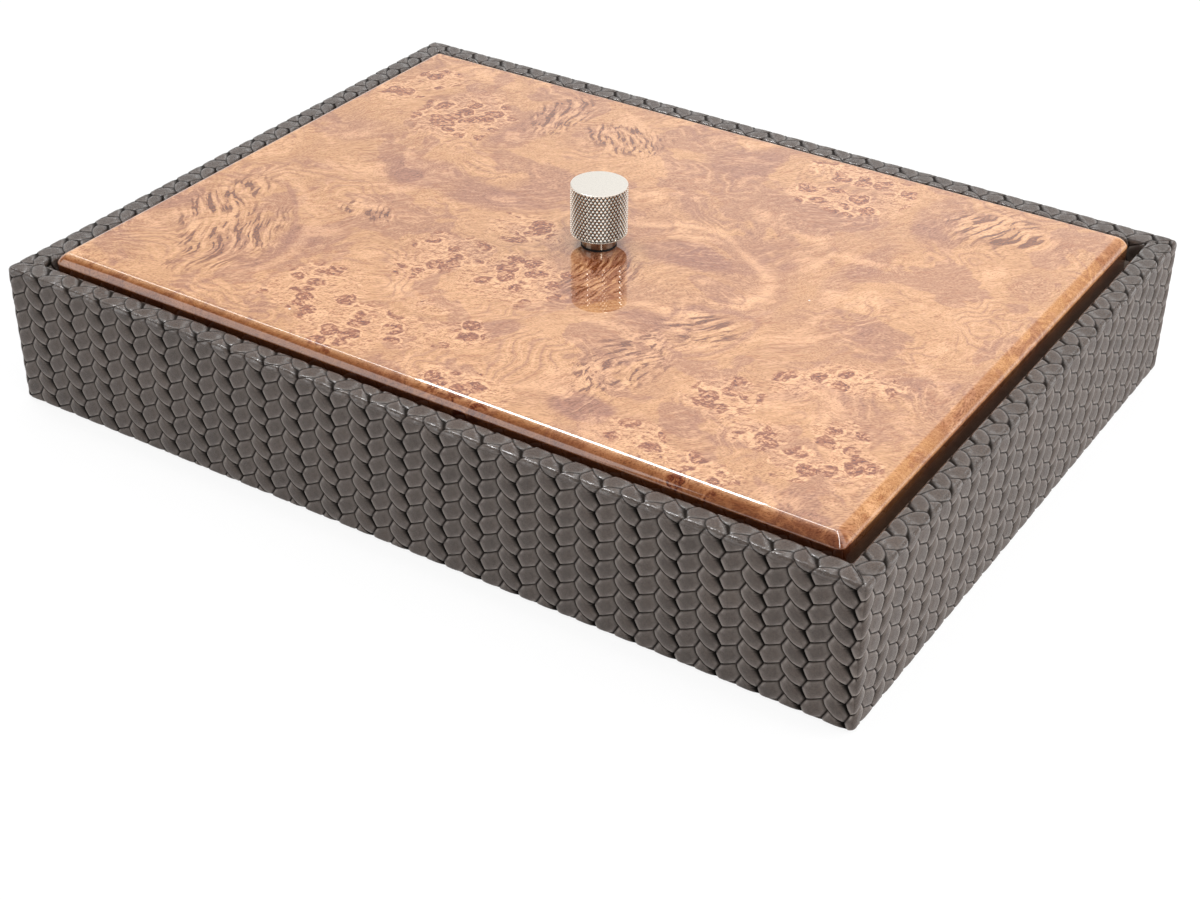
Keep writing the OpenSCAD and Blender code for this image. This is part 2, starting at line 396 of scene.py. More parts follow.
def cloth_material():
    """Fine woven lining: threads that pass over and under each other, with painted shade in the gaps between
    them.
    """
    made = Material("lining_cloth")
    place = made.place.warped(7, 0.25)
    x, y, z = (place.part(axis) for axis in "XYZ")
    facing = made.read("ShaderNodeNewGeometry", "True Normal")
    flat, ahead = (abs(facing.part(axis)) > 0.7 for axis in "ZX")
    u = ((y - x) * ahead + x) * (1 / THREAD)
    v = ((y - z) * flat + z) * (1 / THREAD)
    warp_thread, weft_thread = (abs((w * math.pi).apply("SINE")) for w in (u, v))
    row, column = u.apply("FLOOR"), v.apply("FLOOR")
    odd = abs((row + column).apply("MODULO", 2.0))
    over = (warp_thread - weft_thread) * odd + weft_thread
    slub = made.tree.make("ShaderNodeCombineXYZ", {"X": row, "Y": column}).noise(3.1, 1)
    body = mixed(slub.ramp(0.3, 0.7), (0.120, 0.092, 0.074), (0.168, 0.134, 0.110))
    body = mixed(place.noise(24, 3).ramp(0.35, 0.7, 0, 0.35), body, (0.094, 0.070, 0.055))
    # Darker where the threads dip under each other: painted shade between the threads
    body = mixed(over.ramp(0.55, 0.0, 0, 0.75), body, (0.022, 0.016, 0.012))
    return made.finished(Base_Color=body, Roughness=0.85, Sheen_Weight=0.35, Sheen_Roughness=0.4,
                         Specular_IOR_Level=0.2,
                         Normal=(place.noise(0.12, 3, 0.7) * 0.5 + over).bump(0.09, 0.8))


def felt_material():
    """Pressed felt: fibres that lie every way, with paler ones on top."""
    made = Material("felt")
    curled = made.place.warped(1.6, 1.1)
    hairs = least([curled.grain(angle, 0.09, 1.3, 1.0).ramp(0.64, 0.56) for angle in (12, 77, 131)])
    mass = curled.noise(0.5, 4, 0.7)
    body = mixed(mass.ramp(0.3, 0.7), (0.016, 0.015, 0.016), (0.042, 0.039, 0.040))
    body = mixed(made.place.noise(17).ramp(0.4, 0.7, 0, 0.4), body, (0.052, 0.048, 0.048))
    body = mixed(hairs * -0.8 + 0.8, body, (0.115, 0.108, 0.106))
    return made.finished(Base_Color=body, Roughness=0.95, Sheen_Weight=0.6, Sheen_Roughness=0.5,
                         Specular_IOR_Level=0.1, Normal=(hairs * -0.6 + mass).bump(0.14, 0.7))


def board_material():
    """Fibreboard: short pale and dark fibres pressed flat, with a few dark chips."""
    made = Material("fibreboard")
    curled = made.place.warped(2.5, 1.4)
    first, second = (curled.grain(angle, 0.16, 1.1, 3, 0.65) for angle in (20, 108))
    body = mixed(first.ramp(0.32, 0.68), (0.30, 0.205, 0.122), (0.50, 0.375, 0.245))
    body = mixed(second.ramp(0.54, 0.68, 0, 0.6), body, (0.60, 0.47, 0.32))
    body = mixed(made.place.noise(35).ramp(0.35, 0.7, 0, 0.3), body, (0.33, 0.235, 0.15))
    body = specked(body, curled, 3.4, 0.10, 0.05, 0.3, (0.13, 0.08, 0.045))
    return made.finished(Base_Color=body, Roughness=0.78, Specular_IOR_Level=0.25,
                         Normal=(first + second).bump(0.05, 0.6))


def dowel_material():
    """Turned beech: straight grain along the dowel with short darker flecks."""
    made = Material("beech")
    grain = (made.place * (1.9, 0.09, 1.9)).noise(1.0, 4, 0.6)
    fleck = (made.place * (3.6, 0.55, 3.6)).noise(1.0, 1.0)
    body = mixed(grain.ramp(0.3, 0.7), (0.50, 0.335, 0.20), (0.68, 0.50, 0.33))
    body = mixed(fleck.ramp(0.62, 0.70, 0, 0.7), body, (0.33, 0.19, 0.10))
    return made.finished(Base_Color=body, Roughness=0.55, Specular_IOR_Level=0.35,
                         Normal=grain.bump(0.04, 0.6))


def card_material():
    """Grey card: soft cloudy pulp with small fibres and specks of ink."""
    made = Material("grey_card")
    pulp = made.place.noise(1.8, 5, 0.7)
    fibre = made.place.warped(1.8, 1.3).grain(64, 0.11, 1.0)
    body = mixed(pulp.ramp(0.3, 0.7), (0.33, 0.30, 0.255), (0.46, 0.43, 0.375))
    body = mixed(fibre.ramp(0.58, 0.68, 0, 0.6), body, (0.60, 0.57, 0.51))
    body = specked(body, made.place, 2.6, 0.07, 0.03, 0.35, (0.09, 0.085, 0.09))
    return made.finished(Base_Color=body, Roughness=0.88, Specular_IOR_Level=0.2,
                         Normal=(pulp + fibre).bump(0.035, 0.6))


def rubber_material():
    """The black ring under the neck, with a fine moulded skin and a little dust."""
    made = Material("black_rubber")
    skin = made.place.noise(0.09, 3, 0.6)
    dust = made.place.noise(0.7, 4, 0.7).ramp(0.55, 0.75, 0, 0.5)
    return made.finished(Base_Color=mixed(dust, (0.010, 0.010, 0.011), (0.045, 0.042, 0.040)),
                         Roughness=skin.ramp(0.3, 0.7, 0.42, 0.62), Specular_IOR_Level=0.4,
                         Normal=skin.bump(0.02, 0.6))


def steel_material():
    """Zinc-plated steel: a mottled plating with turning marks across the axis."""
    made = Material("plated_steel")
    plating = made.place.noise(1.1, 4, 0.65)
    marks = (made.place * (0.4, 0.4, 9.0)).noise(1.0)
    return made.finished(Base_Color=mixed(plating.ramp(0.3, 0.7), (0.46, 0.47, 0.48), (0.66, 0.66, 0.64)),
                         Metallic=1.0, Roughness=plating.ramp(0.3, 0.7, 0.22, 0.42),
                         Normal=marks.bump(0.01, 0.7))


def metal_material():
    """Turned and brushed metal, with dirt and painted shade in the knurl's pits, painted shade on the knurl's
    downward facets and on the neck under the cap.
    """
    made = Material("knob_metal")
    low, high = millimetres("knob")
    middle, radius = (low + high) / 2, (high[0] - low[0]) / 2
    place = made.place - tuple(middle)
    z = place.part("Z")
    out = (place * (1, 1, 0)).length()
    cap = z > low[2] - middle[2] + NECK_H - 0.1
    knurled = cap * (z < high[2] - middle[2] - 0.35)
    # Dark pits in the knurl: dirt and painted shade
    pit_dirt_and_shade = out.ramp(radius - 0.88 * KNURL_DEPTH, radius - 0.58 * KNURL_DEPTH, 1, 0) * knurled
    bright = mixed(place.noise(0.8, 3).ramp(0.3, 0.7), (0.92, 0.87, 0.79), (0.97, 0.92, 0.84))
    # The neck, under the cap, is darkened: painted shade
    bright = mixed(cap, (0.40, 0.36, 0.31), bright)
    # The knurl's downward facets are darkened: painted shade
    slope = made.read("ShaderNodeNewGeometry", "True Normal").part("Z")
    bright = mixed(slope.ramp(-0.05, -0.25, 0, 0.35) * knurled, bright, (0.10, 0.08, 0.06))
    lathe = made.tree.make("ShaderNodeCombineXYZ", {"X": out, "Y": z})
    return made.finished(Base_Color=mixed(pit_dirt_and_shade, bright, (0.02, 0.015, 0.010)), Metallic=1.0,
                         Roughness=pit_dirt_and_shade.ramp(0, 0.6, 0.13, 0.4), Normal=lathe.noise(0.14).bump(0.0015, 0.6))


# Where the burl's eyes crowd together on the lid: place, and how far they reach across and along
EYE_CLUSTERS = (
    (-133, 82, 10, 11), (-138, 65, 10, 9), (-103, 60, 19, 23), (50, 97, 20, 8), (54, 76, 22, 10),
    (70, 90, 7, 12), (-28, -6, 14, 10), (-36, -34, 19, 12), (-12, -38, 21, 17), (-44, -49, 10, 9),
    (-62, -80, 17, 17), (-38, -93, 19, 15), (-17, -86, 11, 10), (-3, -79, 9, 10), (-24, -70, 9, 5),
    (116, -33, 14, 9), (100, -46, 8, 7), (86, -64, 12, 12), (104, -77, 12, 8), (122, -84, 9, 9),
    (137, -78, 9, 10), (126, -64, 9, 8), (74, -97, 10, 8), (96, -104, 16, 8), (16, -104, 18, 9),
)
# Where the grain is torn into streaks, and one patch of dark streaks that paints the knob's reflection: place,
# reach across and along, and the streaks' direction in degrees
STREAK_PATCHES = (
    (-72, 82, 14, 26, -68), (-40, 76, 24, 16, -58), (-132, -46, 12, 30, -60), (-110, -68, 18, 32, -62),
    (-82, -26, 17, 8, -68), (50, -66, 15, 36, 76), (112, 86, 24, 18, 62), (58, -32, 17, 15, 42),
    # Dark streaks in front of the knob's foot: a painted reflection of the knob
    (12, -20, 15, 23, 92),
)
# Clouds in the ground, and two patches of painted shade and reflection round the knob's foot: place, reach
# across and along, and how dark, or pale where it is below 0
DRIFTS = (
    (-72, 10, 40, 11, 1.0), (-74, 62, 10, 34, 0.9), (10, 86, 13, 17, 1.0), (90, 84, 12, 19, 0.9),
    (30, 11, 18, 10, 1.1), (-86, -62, 10, 24, 1.0), (-136, -92, 14, 11, 1.0), (6, -70, 8, 10, 1.7),
    (52, -95, 13, 10, 1.6), (18, 46, 20, 10, 0.9), (-128, 28, 18, 9, 0.5), (66, -58, 8, 26, 0.7),
    (120, -50, 26, 12, 0.4), (-40, 30, 20, 12, 0.5), (84, 30, 8, 26, 0.5), (138, 40, 10, 34, 0.4),
    (-118, 94, 21, 8, -1.6), (-25, -57, 26, 10, -0.9), (112, 30, 24, 42, -0.7), (-10, 62, 26, 12, -0.5),
    # The last two in this row: painted shade and a painted reflection of the knob, round its foot
    (-148, -10, 10, 22, -0.6), (30, -64, 14, 22, -0.6), (4, -6, 13, 10, 2.0), (12, -22, 12, 16, 2.3),
)
# Growth lines that sweep far round: middle, reach across and along, and how dark, or pale where it is below 0
SWEEPS = (
    (24, 2, 36, 31, -0.9), (24, 2, 45, 40, 0.5), (30, 2, 57, 50, -0.7), (-130, -72, 42, 49, 0.8),
    (-130, -72, 47, 54, -0.6), (58, -30, 17, 15, 0.7), (-30, -40, 46, 38, 0.5),
)
DARK_LINE, PALE_LINE = 2.4, 4.5

# How strongly the figure stands out, and the gain that keeps its middle tone as it was
FIGURE_DEPTH = 2.1
FIGURE_GAIN = (1.20, 2.00, 2.70)

DARK_EYE = (0.385, 0.136, 0.060)
EYE = (0.525, 0.238, 0.124)
VEIN = (0.80, 0.478, 0.305)
STREAK = (0.36, 0.145, 0.07)
GROUND_DARK = (0.505, 0.255, 0.170)
GROUND = (0.665, 0.374, 0.2155)
GROUND_LIGHT = (0.74, 0.43, 0.262)
GROUND_PALE = (0.807, 0.482, 0.309)


def burl_ground(place, bent, loose):
    """Drifts and clouds with edges that are sharp in places, sweeps, flowing grain and growth lines."""
    drift = 0.5
    for x, y, across, along, dark in DRIFTS:
        drift = drift + bent.ellipse(x, y, across, along).smooth(0.66, 1.16, -0.27 * dark, 0)
    cloud = bent.noise(40, 2.5)
    level = drift + (cloud - 0.5)
    ground = mixed(level.ramp(0.12, 0.5), GROUND_DARK, GROUND)
    ground = mixed(level.ramp(0.5, 0.95), ground, GROUND_LIGHT)
    other = (loose + (210, 40, 0)).noise(30, 3, 0.55)
    ground = mixed(other.smooth(0.53, 0.555, 0, 0.5), ground, GROUND_DARK)
    pale = (bent + (0, 0, 70)).noise(17, 3, 0.62)
    ground = mixed(pale.smooth(0.53, 0.68, 0, 0.6), ground, GROUND_PALE)
    for x, y, across, along, dark in SWEEPS:
        off = abs(bent.ellipse(x, y, across, along) - 1.0)
        broken = (place + (x, across, 30)).noise(24, 1).ramp(0.38, 0.58)
        width = (DARK_LINE if dark > 0 else PALE_LINE) / across
        part = off.smooth(0, width, abs(dark) * 0.75, 0) * broken
        ground = mixed(part, ground, GROUND_DARK if dark > 0 else GROUND_PALE)
    flow = bent.grain(48, 1.5, 7.5, 4, 0.62)
    strength = (place + (90, 0, 0)).noise(26).ramp(0.38, 0.60, 0.35, 1.0)
    ground = mixed(flow.ramp(0.48, 0.35, 0, 0.5) * strength, ground, EYE)
    ground = mixed(flow.ramp(0.52, 0.64, 0, 0.5) * strength, ground, GROUND_PALE)
    lines = (cloud * 19.0).apply("PINGPONG", 0.5)
    where = place.noise(30).smooth(0.46, 0.60)
    ground = mixed(lines.ramp(0.0, 0.2, 0.55, 0) * where, ground, GROUND_DARK)
    return mixed(lines.ramp(0.34, 0.5, 0, 0.5) * where, ground, GROUND_PALE)


def burl_streaks(place, bent, made):
    for x, y, across, along, angle in STREAK_PATCHES:
        within = place.noise(9) * 0.9 + (place.ellipse(x, y, across, along) - 0.45)
        within = within.smooth(0.5, 1.05, 1, 0)
        grain = bent.grain(angle, 1.7, 13, 1.5)
        made = mixed(grain.smooth(0.46, 0.38, 0, 0.65) * within, made, GROUND_PALE)
        made = mixed(grain.smooth(0.54, 0.61, 0, 0.85) * within, made, STREAK)
    return made


def burl_eyes(place, bent, made):
    """Round brown knots with dark outlines, pale rings round them and curls in them, each curl with a painted
    highlight on one side and painted shade on the other.
    """
    out = least([place.ellipse(*cluster) for cluster in EYE_CLUSTERS])
    ragged = place.noise(6) + (out - 0.5)
    swirl = place.warped(9, 4, 1).warped(2.4, 1.2, 1)
    distance = swirl.cells(7.3)
    chosen = distance.drawn() < ragged.ramp(0.3, 1.0, 0.92, 0.6)
    knot = distance.smooth(0.40, 0.50, 1, 0) * chosen
    crest = swirl.noise(2.2, 2, 0.6)
    lit = crest - (swirl + (0.40, -0.50, 0)).noise(2.2, 2, 0.6)
    flecks = bent.warped(3.4, 1.7).noise(1.3, 3, 0.6)
    eye = mixed(flecks.ramp(0.38, 0.60), DARK_EYE, EYE)
    eye = mixed(crest.smooth(0.50, 0.58, 0, 0.55), eye, VEIN)
    arcs = place.noise(3.5, 1).ramp(0.40, 0.56)
    outline = abs(distance - 0.47).ramp(0.015, 0.065, 0.85, 0)
    ring = abs(distance - 0.58).ramp(0.02, 0.10, 0.9, 0)
    second = abs(distance - 0.66).ramp(0.0, 0.05, 0.5, 0)
    eyes = mixed(knot, mixed(0.3, made, VEIN), eye)
    eyes = mixed(second * arcs, eyes, EYE)
    eyes = mixed(ring * chosen, eyes, VEIN)
    eyes = mixed(outline * arcs * chosen, eyes, DARK_EYE)
    # An emboss across each curl: painted highlight on one side, painted shade on the other
    eyes = mixed(lit.ramp(0.02, 0.12, 0, 0.6), eyes, VEIN)
    eyes = mixed(lit.ramp(-0.03, -0.14, 0, 0.5), eyes, DARK_EYE)
    return mixed(ragged.smooth(0.88, 1.12, 1, 0), made, eyes)


def burl_colour(place):
    loose = place.warped(46, 30, 1)
    bent = loose.warped(13, 5.5)
    made = burl_streaks(place, bent, burl_ground(place, bent, loose))
    made = burl_eyes(place, bent, made)
    fibre = bent.grain(35, 0.35, 1.3, 2.0, 0.6)
    made = mixed(fibre.ramp(0.50, 0.32, 0, 0.50), made, tinted(made, (0.52, 0.40, 0.32)))
    made = mixed(fibre.ramp(0.52, 0.68, 0, 0.32), made, VEIN)
    deepened = place.tree.make("ShaderNodeGamma", {"Color": made, "Gamma": FIGURE_DEPTH})
    return tinted(deepened, FIGURE_GAIN)


def burl_material():
    """Burl under clear lacquer, with painted shade on the bevel, most on the front bevel, still darker painted
    shade on the sides, and a little dust.
    """
    made = Material("burl")
    place, height = made.place, made.place.part("Z")
    figure = burl_colour(place)
    # Painted shade on the bevel, strongest along the front
    bevel_shade = height.smooth(LID_TOP - 0.2, LID_TOP - 1.6)
    front = place.part("Y").ramp(LID_FRONT + 5.0, LID_FRONT + 4.0, 0.12, 1.0)
    figure = mixed(bevel_shade * front, figure, tinted(figure, (0.56, 0.40, 0.31)))
    # Stronger painted shade on the lid's sides
    side_shade = height.smooth(LID_TOP - 3.6, LID_TOP - 4.4)
    figure = mixed(side_shade, figure, tinted(figure, (0.26, 0.20, 0.18)))
    dust = place.cells(23)
    speck = (dust < 0.016) * (dust.drawn() < 0.45) * 0.7
    return made.finished(Base_Color=mixed(speck, figure, (0.9, 0.86, 0.8)), Roughness=0.5,
                         Specular_IOR_Level=0.0, Coat_Weight=1.0, Coat_Roughness=0.004, Coat_IOR=2.1,
                         Coat_Normal=place.noise(9, 1).bump(0.006))


# ---------------------------------------------------------------- plaited leather

LEATHER_T = 1.2
# Rounding at the rim, at the box's corners and at the foot
EDGE_R = 1.8
CORNER_R = 2.6
FOOT_R = 1.2
# How far the leather goes in under the base, and how far the plait goes down inside
TURN_IN = 14.0
BEHIND_LINER = 12.0
# The plait: its deepest pocket, its columns round the box, its rows' height, where columns and rows start,
# and how far the rows climb along the front
DEEPEST = 1.0
COLUMNS_ROUND = 162
ROW = 6.77
CORNER_CELL = 1.6
ROW_START = 4.15
SKEW = 5.0
# How far a flat sheet reaches past its side before it is trimmed, and over what length the cells change hands
SPARE = 8.0
HAND_REACH = 1.5
# How much relief is lost over the rim, at the foot and next to a corner
RELIEF_LOST = (0.62, 0.6, 0.25)
# Points this close to a cut are on it
ON_CUT = 1e-6

# A cell is a hexagon. These place its corners, and the rest follows from the columns and the rows
CELL_WAIST = 2.62
CELL_SHOULDER = 1.25
SEGMENTS = 4

# Rings of a cell from its border to its middle: size, lift from the groove's floor, and marks groove, for
# painted shade, and edge, for wear and painted highlight
RINGS = (
    (1.0, 0.0, 1.0, 0.0),
    (0.958, 0.36, 0.85, 0.0),
    (0.90, 0.84, 0.12, 0.8),
    (0.81, 1.0, 0.0, 1.0),
    (0.66, 1.0, 0.0, 0.3),
    (0.40, 1.0, 0.0, 0.0),
    (0.0, 1.0, 0.0, 0.0),
)
# Those of the cells under the base and down inside, which are seldom seen
PLAIN_RINGS = (RINGS[0], RINGS[2], RINGS[4], RINGS[6])
GROOVE = 0.36

FRONT, RIGHT, BACK, LEFT = range(4)
SIDE_NAMES = ("front", "right", "back", "left")


class Wrap:
    """The leather's way round the walls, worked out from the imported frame. t runs up the wall, over the rim
    and down inside, and u runs round the box from the near right corner, both along the leather's face."""

    def __init__(self):
        low, high = millimetres("leather_front")
        self.width, self.depth = ((np.array(cad_box[1]) - np.array(cad_box[0])) / MM)[:2]
        self.foot_z = low[2]
        self.rim_z = high[2]
        self.rim_w = millimetres("liner_front")[0][1] - low[1]
        base_top = millimetres("liner_front")[0][2]
        round_off = CORNER_R * (1 - math.pi / 4)
        self.half = [length / 2 - round_off for length in (self.width, self.depth) * 2]
        self.around = 2 * sum(self.half)
        self.column = self.around / COLUMNS_ROUND
        self.starts = [-2 * self.half[FRONT], 0, 2 * self.half[RIGHT], 2 * sum(self.half[RIGHT:LEFT])]
        self.t_wall = self.foot_z + FOOT_R
        self.t_turn = self.t_wall - FOOT_R * math.pi / 2
        self.t_low = self.t_turn - (TURN_IN - FOOT_R)
        self.t_top = self.rim_z - EDGE_R
        self.t_rim = self.t_top + EDGE_R * math.pi / 2
        self.t_in = self.t_rim + self.rim_w - 2 * EDGE_R
        self.t_down = self.t_in + EDGE_R * math.pi / 2
        self.t_plain = self.t_down + BEHIND_LINER
        self.t_end = self.t_down + self.t_top - base_top

    def side_length(self, side):
        return self.width if side % 2 == 0 else self.depth

    def profile(self, t, h):
        """(distance inwards, height) of a point at t along the wrap and h above the leather's face."""
        foot = np.clip((t - self.t_turn) / FOOT_R, 0, math.pi / 2)
        outer = np.clip((t - self.t_top) / EDGE_R, 0, math.pi / 2)
        inner = np.clip((t - self.t_in) / EDGE_R, 0, math.pi / 2)
        low = t < self.t_top
        inwards = np.where(low, FOOT_R - (FOOT_R + h) * np.sin(foot), EDGE_R - (EDGE_R + h) * np.cos(outer))
        up = np.where(low, self.foot_z + FOOT_R - (FOOT_R + h) * np.cos(foot),
                      self.t_top + (EDGE_R + h) * np.sin(outer))
        inwards += np.maximum(self.t_turn - t, 0)
        up += np.clip(t, self.t_wall, self.t_top) - self.t_wall - np.where(low, 0, self.t_top - self.t_wall)
        inwards += np.clip(t, self.t_rim, self.t_in) - self.t_rim
        over = t > self.t_in
        inwards = np.where(over, self.rim_w - EDGE_R + (EDGE_R + h) * np.sin(inner), inwards)
        up = np.where(over, self.t_top + (EDGE_R + h) * np.cos(inner) - np.maximum(t - self.t_down, 0), up)
        return inwards, up

    def wrap(self, side, u, t, h):
        """Points on a side, as (along, inwards, up) with along 0 in the side's middle."""
        inwards, up = self.profile(t, h)
        face = self.profile(t, np.zeros_like(t))[0]
        along = u - self.starts[side] - self.half[side]
        straight = self.side_length(side) / 2 - CORNER_R
        past = np.abs(along) - straight
        radius = np.maximum(CORNER_R - face, 0.02)
        bend = (past > 0) & (face < CORNER_R - 0.02)
        angle = np.clip(past / radius, 0, math.pi / 2)
        more = np.maximum(past - radius * math.pi / 2, 0)
        reach = CORNER_R - inwards
        x = np.where(bend, straight + reach * np.sin(angle), np.abs(along))
        inwards = np.where(bend, CORNER_R - reach * np.cos(angle) + more, inwards)
        return np.stack([np.sign(along) * x, inwards, up], axis=1)


def relief_left(u, t, wrap):
    """How much of the plait's relief is left where the leather is stretched over an edge or a corner."""
    over = smoothstep(wrap.t_top - 1.5, wrap.t_rim, t)
    under = smoothstep(wrap.t_wall + 1.5, wrap.t_turn, t)
    seams = [turn + start for start in wrap.starts for turn in (0, wrap.around)]
    corner = 1 - smoothstep(0.8, 3.0, np.min([np.abs(u - seam) for seam in seams], axis=0))
    return np.prod([1 - lost * near for lost, near in zip(RELIEF_LOST, (over, under, corner))], axis=0)


def handedness(u, wrap):
    """+1 where the cells lie over each other to the left, -1 where they lie over to the right."""
    hand = np.ones_like(u)
    for side in (RIGHT, LEFT):
        start, end = wrap.starts[side], wrap.starts[side] + 2 * wrap.half[side]
        for turn in (-wrap.around, 0, wrap.around):
            inside = smoothstep(start + turn - HAND_REACH, start + turn + HAND_REACH, u)
            inside = inside * (1 - smoothstep(end + turn - HAND_REACH, end + turn + HAND_REACH, u))
            hand = hand - 2 * inside
    return hand


def row_skew(u, wrap):
    """The rows' slow rise and fall along the box, in millimetres."""
    front = 2 * wrap.half[FRONT]
    left_of_corner = np.clip(-u / front, 0, 1)
    on_front = -SKEW * left_of_corner**2
    rest = (ROW - SKEW) * smoothstep(0, wrap.around - front, u)
    return np.where(u < 0, on_front, rest)


# How far the middle of each kind of cell edge bows, (to the right, up), where cells lie over to the left
BOWS = {
    "rising_groove": (0.0, 0.0),
    "falling_groove": (-0.30, -0.62),
    "peak_lower": (0.0, 0.0),
    "peak_upper": (-0.36, -0.22),
    "valley_upper": (-0.05, 0.05),
    "valley_lower": (-0.10, -0.08),
}
# The kind that each becomes in a mirror
MIRRORED = dict(zip(BOWS, ("falling_groove", "rising_groove", "peak_upper", "peak_lower", "valley_lower",
                           "valley_upper")))


def bow(kind, hand):
    plain, other = BOWS[kind], BOWS[MIRRORED[kind]]
    part = (1 - hand)[:, None] / 2
    return (1 - part) * np.array(plain) + part * np.array((-other[0], other[1]))


def cell_corners(slope, column):
    """Six corners of a cell, anticlockwise from the lower left. A falling cell mirrors a rising one."""
    waist, shoulder = CELL_WAIST, CELL_SHOULDER
    side, drop = column - waist, ROW / 2 - shoulder
    rising = [(-waist, drop - ROW), (waist, -drop), (side, shoulder), (waist, ROW - drop), (-waist, drop),
              (-side, -shoulder)]
    if slope > 0:
        return rising
    mirrored = [(-x, z) for x, z in rising]
    return [mirrored[i] for i in (1, 0, 5, 4, 3, 2)]


EDGE_KINDS = {
    1: ("rising_groove", "peak_lower", "peak_upper", "rising_groove", "valley_upper", "valley_lower"),
    -1: ("falling_groove", "valley_upper", "valley_lower", "falling_groove", "peak_lower", "peak_upper"),
}


def surface_height(slope, x, z, hand):
    """Height of a cell's surface at (x, z) from its middle. One kind of cell sinks a little at its far end,
    and the other dips into a deep pocket under its neighbour."""

    def sunk_end(x, z):
        return -0.46 * smoothstep(0.6, 4.6, (x + 0.47 * z) / 1.1)

    def pocket(x, z):
        return -0.86 * smoothstep(0.3, 2.9, 0.75 * x + 0.66 * z)

    over_left = sunk_end(x, z) if slope > 0 else pocket(x, z)
    over_right = sunk_end(-x, z) if slope < 0 else pocket(-x, z)
    part = (1 - hand) / 2
    return over_left * (1 - part) + over_right * part


def neighbours(column):
    """From a cell's middle to its six neighbours' middles, in the order of the cell's edges."""
    half = ROW / 2
    return [(0, -ROW), (column, -half), (column, half), (0, ROW), (-column, half), (-column, -half)]


def cell_border(slope, middles, wrap):
    """Border points of cells, from their middles, and the height of the groove there."""
    corners = cell_corners(slope, wrap.column)
    around = neighbours(wrap.column)
    border, floor = [], []
    for edge in range(6):
        start, end = np.array(corners[edge]), np.array(corners[(edge + 1) % 6])
        hand = handedness(middles[:, 0] + (start[0] + end[0]) / 2, wrap)
        lift = bow(EDGE_KINDS[slope][edge], hand)
        for step in range(SEGMENTS):
            part = step / SEGMENTS
            point = ((1 - part) * start + part * end)[None, :] + 4 * part * (1 - part) * lift
            here = handedness(middles[:, 0] + point[:, 0], wrap)
            low = surface_height(slope, point[:, 0], point[:, 1], here)
            touching = [around[edge]] + ([around[edge - 1]] if step == 0 else [])
            for dx, dz in touching:
                other = slope if dx == 0 else -slope
                low = np.minimum(low, surface_height(other, point[:, 0] - dx, point[:, 1] - dz, here))
            border.append(point)
            floor.append(low - GROOVE)
    return np.stack(border, 1), np.stack(floor, 1)


def cell_points(slope, middles, wrap, rings):
    """For cells of one slope: the flat places, heights and marks groove (painted shade, most in the deep
    pockets) and edge (wear and painted highlight) of all their points.
    """
    border, floor = cell_border(slope, middles, wrap)
    places, heights, grooves, edges = [], [], [], []
    for size, lift, groove, edge in rings:
        point = border * size if size else np.zeros_like(border[:, :1])
        here = handedness(middles[:, :1] + point[..., 0], wrap)
        surface = surface_height(slope, point[..., 0], point[..., 1], here) - 0.20 * size**4
        lowest = floor[:, : surface.shape[1]]
        proud = np.clip((surface - lowest - 0.22) / 0.45, 0, 1)
        # Deep pockets get painted shade and lose the painted highlight
        deep = smoothstep(0.30, 0.85, -surface)
        places.append(point)
        heights.append(lowest + lift * (surface - lowest))
        grooves.append(np.maximum(groove * (0.82 + 0.18 * proud), deep))
        edges.append(edge * (0.15 + 0.85 * proud) * (1 - deep))
    join = [np.concatenate(parts, 1) for parts in (heights, grooves, edges)]
    return np.concatenate(places, 1) + middles[:, None, :], *join


def cell_triangles(rings):
    """Triangles of one cell, as indices of its points: bands between its rings and a fan in the middle."""
    count = 6 * SEGMENTS
    triangles = []
    for ring in range(len(rings) - 2):
        for i in range(count):
            j = (i + 1) % count
            a, b, c, d = (ring * count + i, ring * count + j, (ring + 1) * count + j, (ring + 1) * count + i)
            triangles += [(a, b, c), (a, c, d)]
    last, centre = (len(rings) - 2) * count, (len(rings) - 1) * count
    return triangles + [(last + i, last + (i + 1) % count, centre) for i in range(count)]


